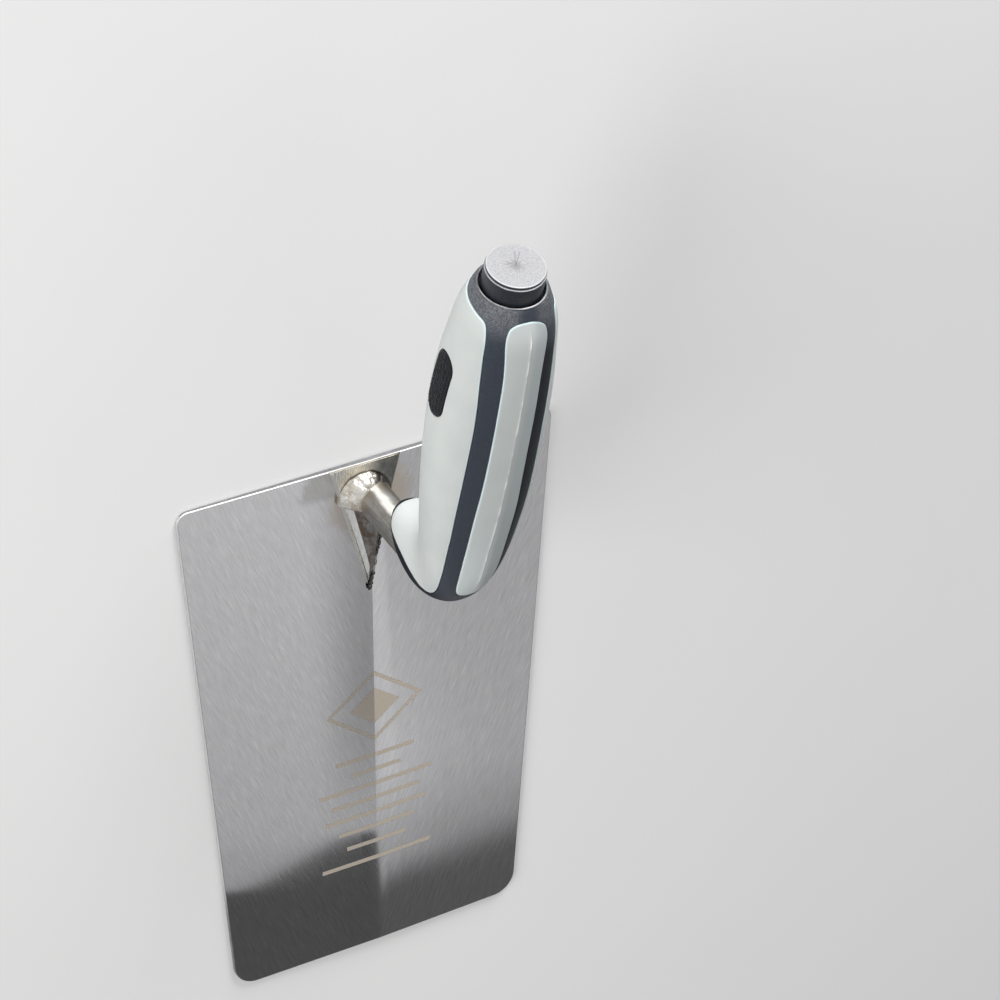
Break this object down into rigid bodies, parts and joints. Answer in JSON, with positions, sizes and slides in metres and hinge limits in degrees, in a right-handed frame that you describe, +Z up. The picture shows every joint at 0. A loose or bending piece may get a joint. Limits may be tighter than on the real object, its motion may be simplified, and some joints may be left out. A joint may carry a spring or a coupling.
{
  "type": "bucket trowel",
  "caption": "Bucket trowel: tapered flat steel blade with rounded corners, welded cranked round tang and a two-colour soft-grip handle with a finger guard.",
  "frame": {"origin": "centre of the blade's flat underside, midway between heel and toe", "axes": "+X across the blade, +Y from the toe to the heel and the handle's butt, +Z up out of the blade's top face; blade and handle are symmetric about the plane x = 0, the welded foot and tang sit up to 2.4 mm towards -X"},
  "size_m": [0.1145, 0.2644, 0.0862],
  "materials": {
    "blade_steel": "brushed stainless, ground lengthwise",
    "tang_steel": "satin with a warm heat tint",
    "weld_steel": "rough weld bead",
    "handle_black": "fine matte moulded polypropylene",
    "grip_grey": "satin light-grey elastomer",
    "inset_black": "pebbled black elastomer"
  },
  "bodies": {
    "root": {"blade": "blade_steel", "foot_plate": "blade_steel", "tang": "tang_steel", "tang_weld_bead": "weld_steel", "tang_gusset": "tang_steel", "gusset_weld_left": "weld_steel", "gusset_weld_right": "weld_steel", "handle_core": "handle_black", "grip_top_panel": "grip_grey", "grip_wrap_panel": "grip_grey", "side_inset_left": "inset_black", "side_inset_right": "inset_black", "end_cap": "handle_black"}
  },
  "joints": []
}
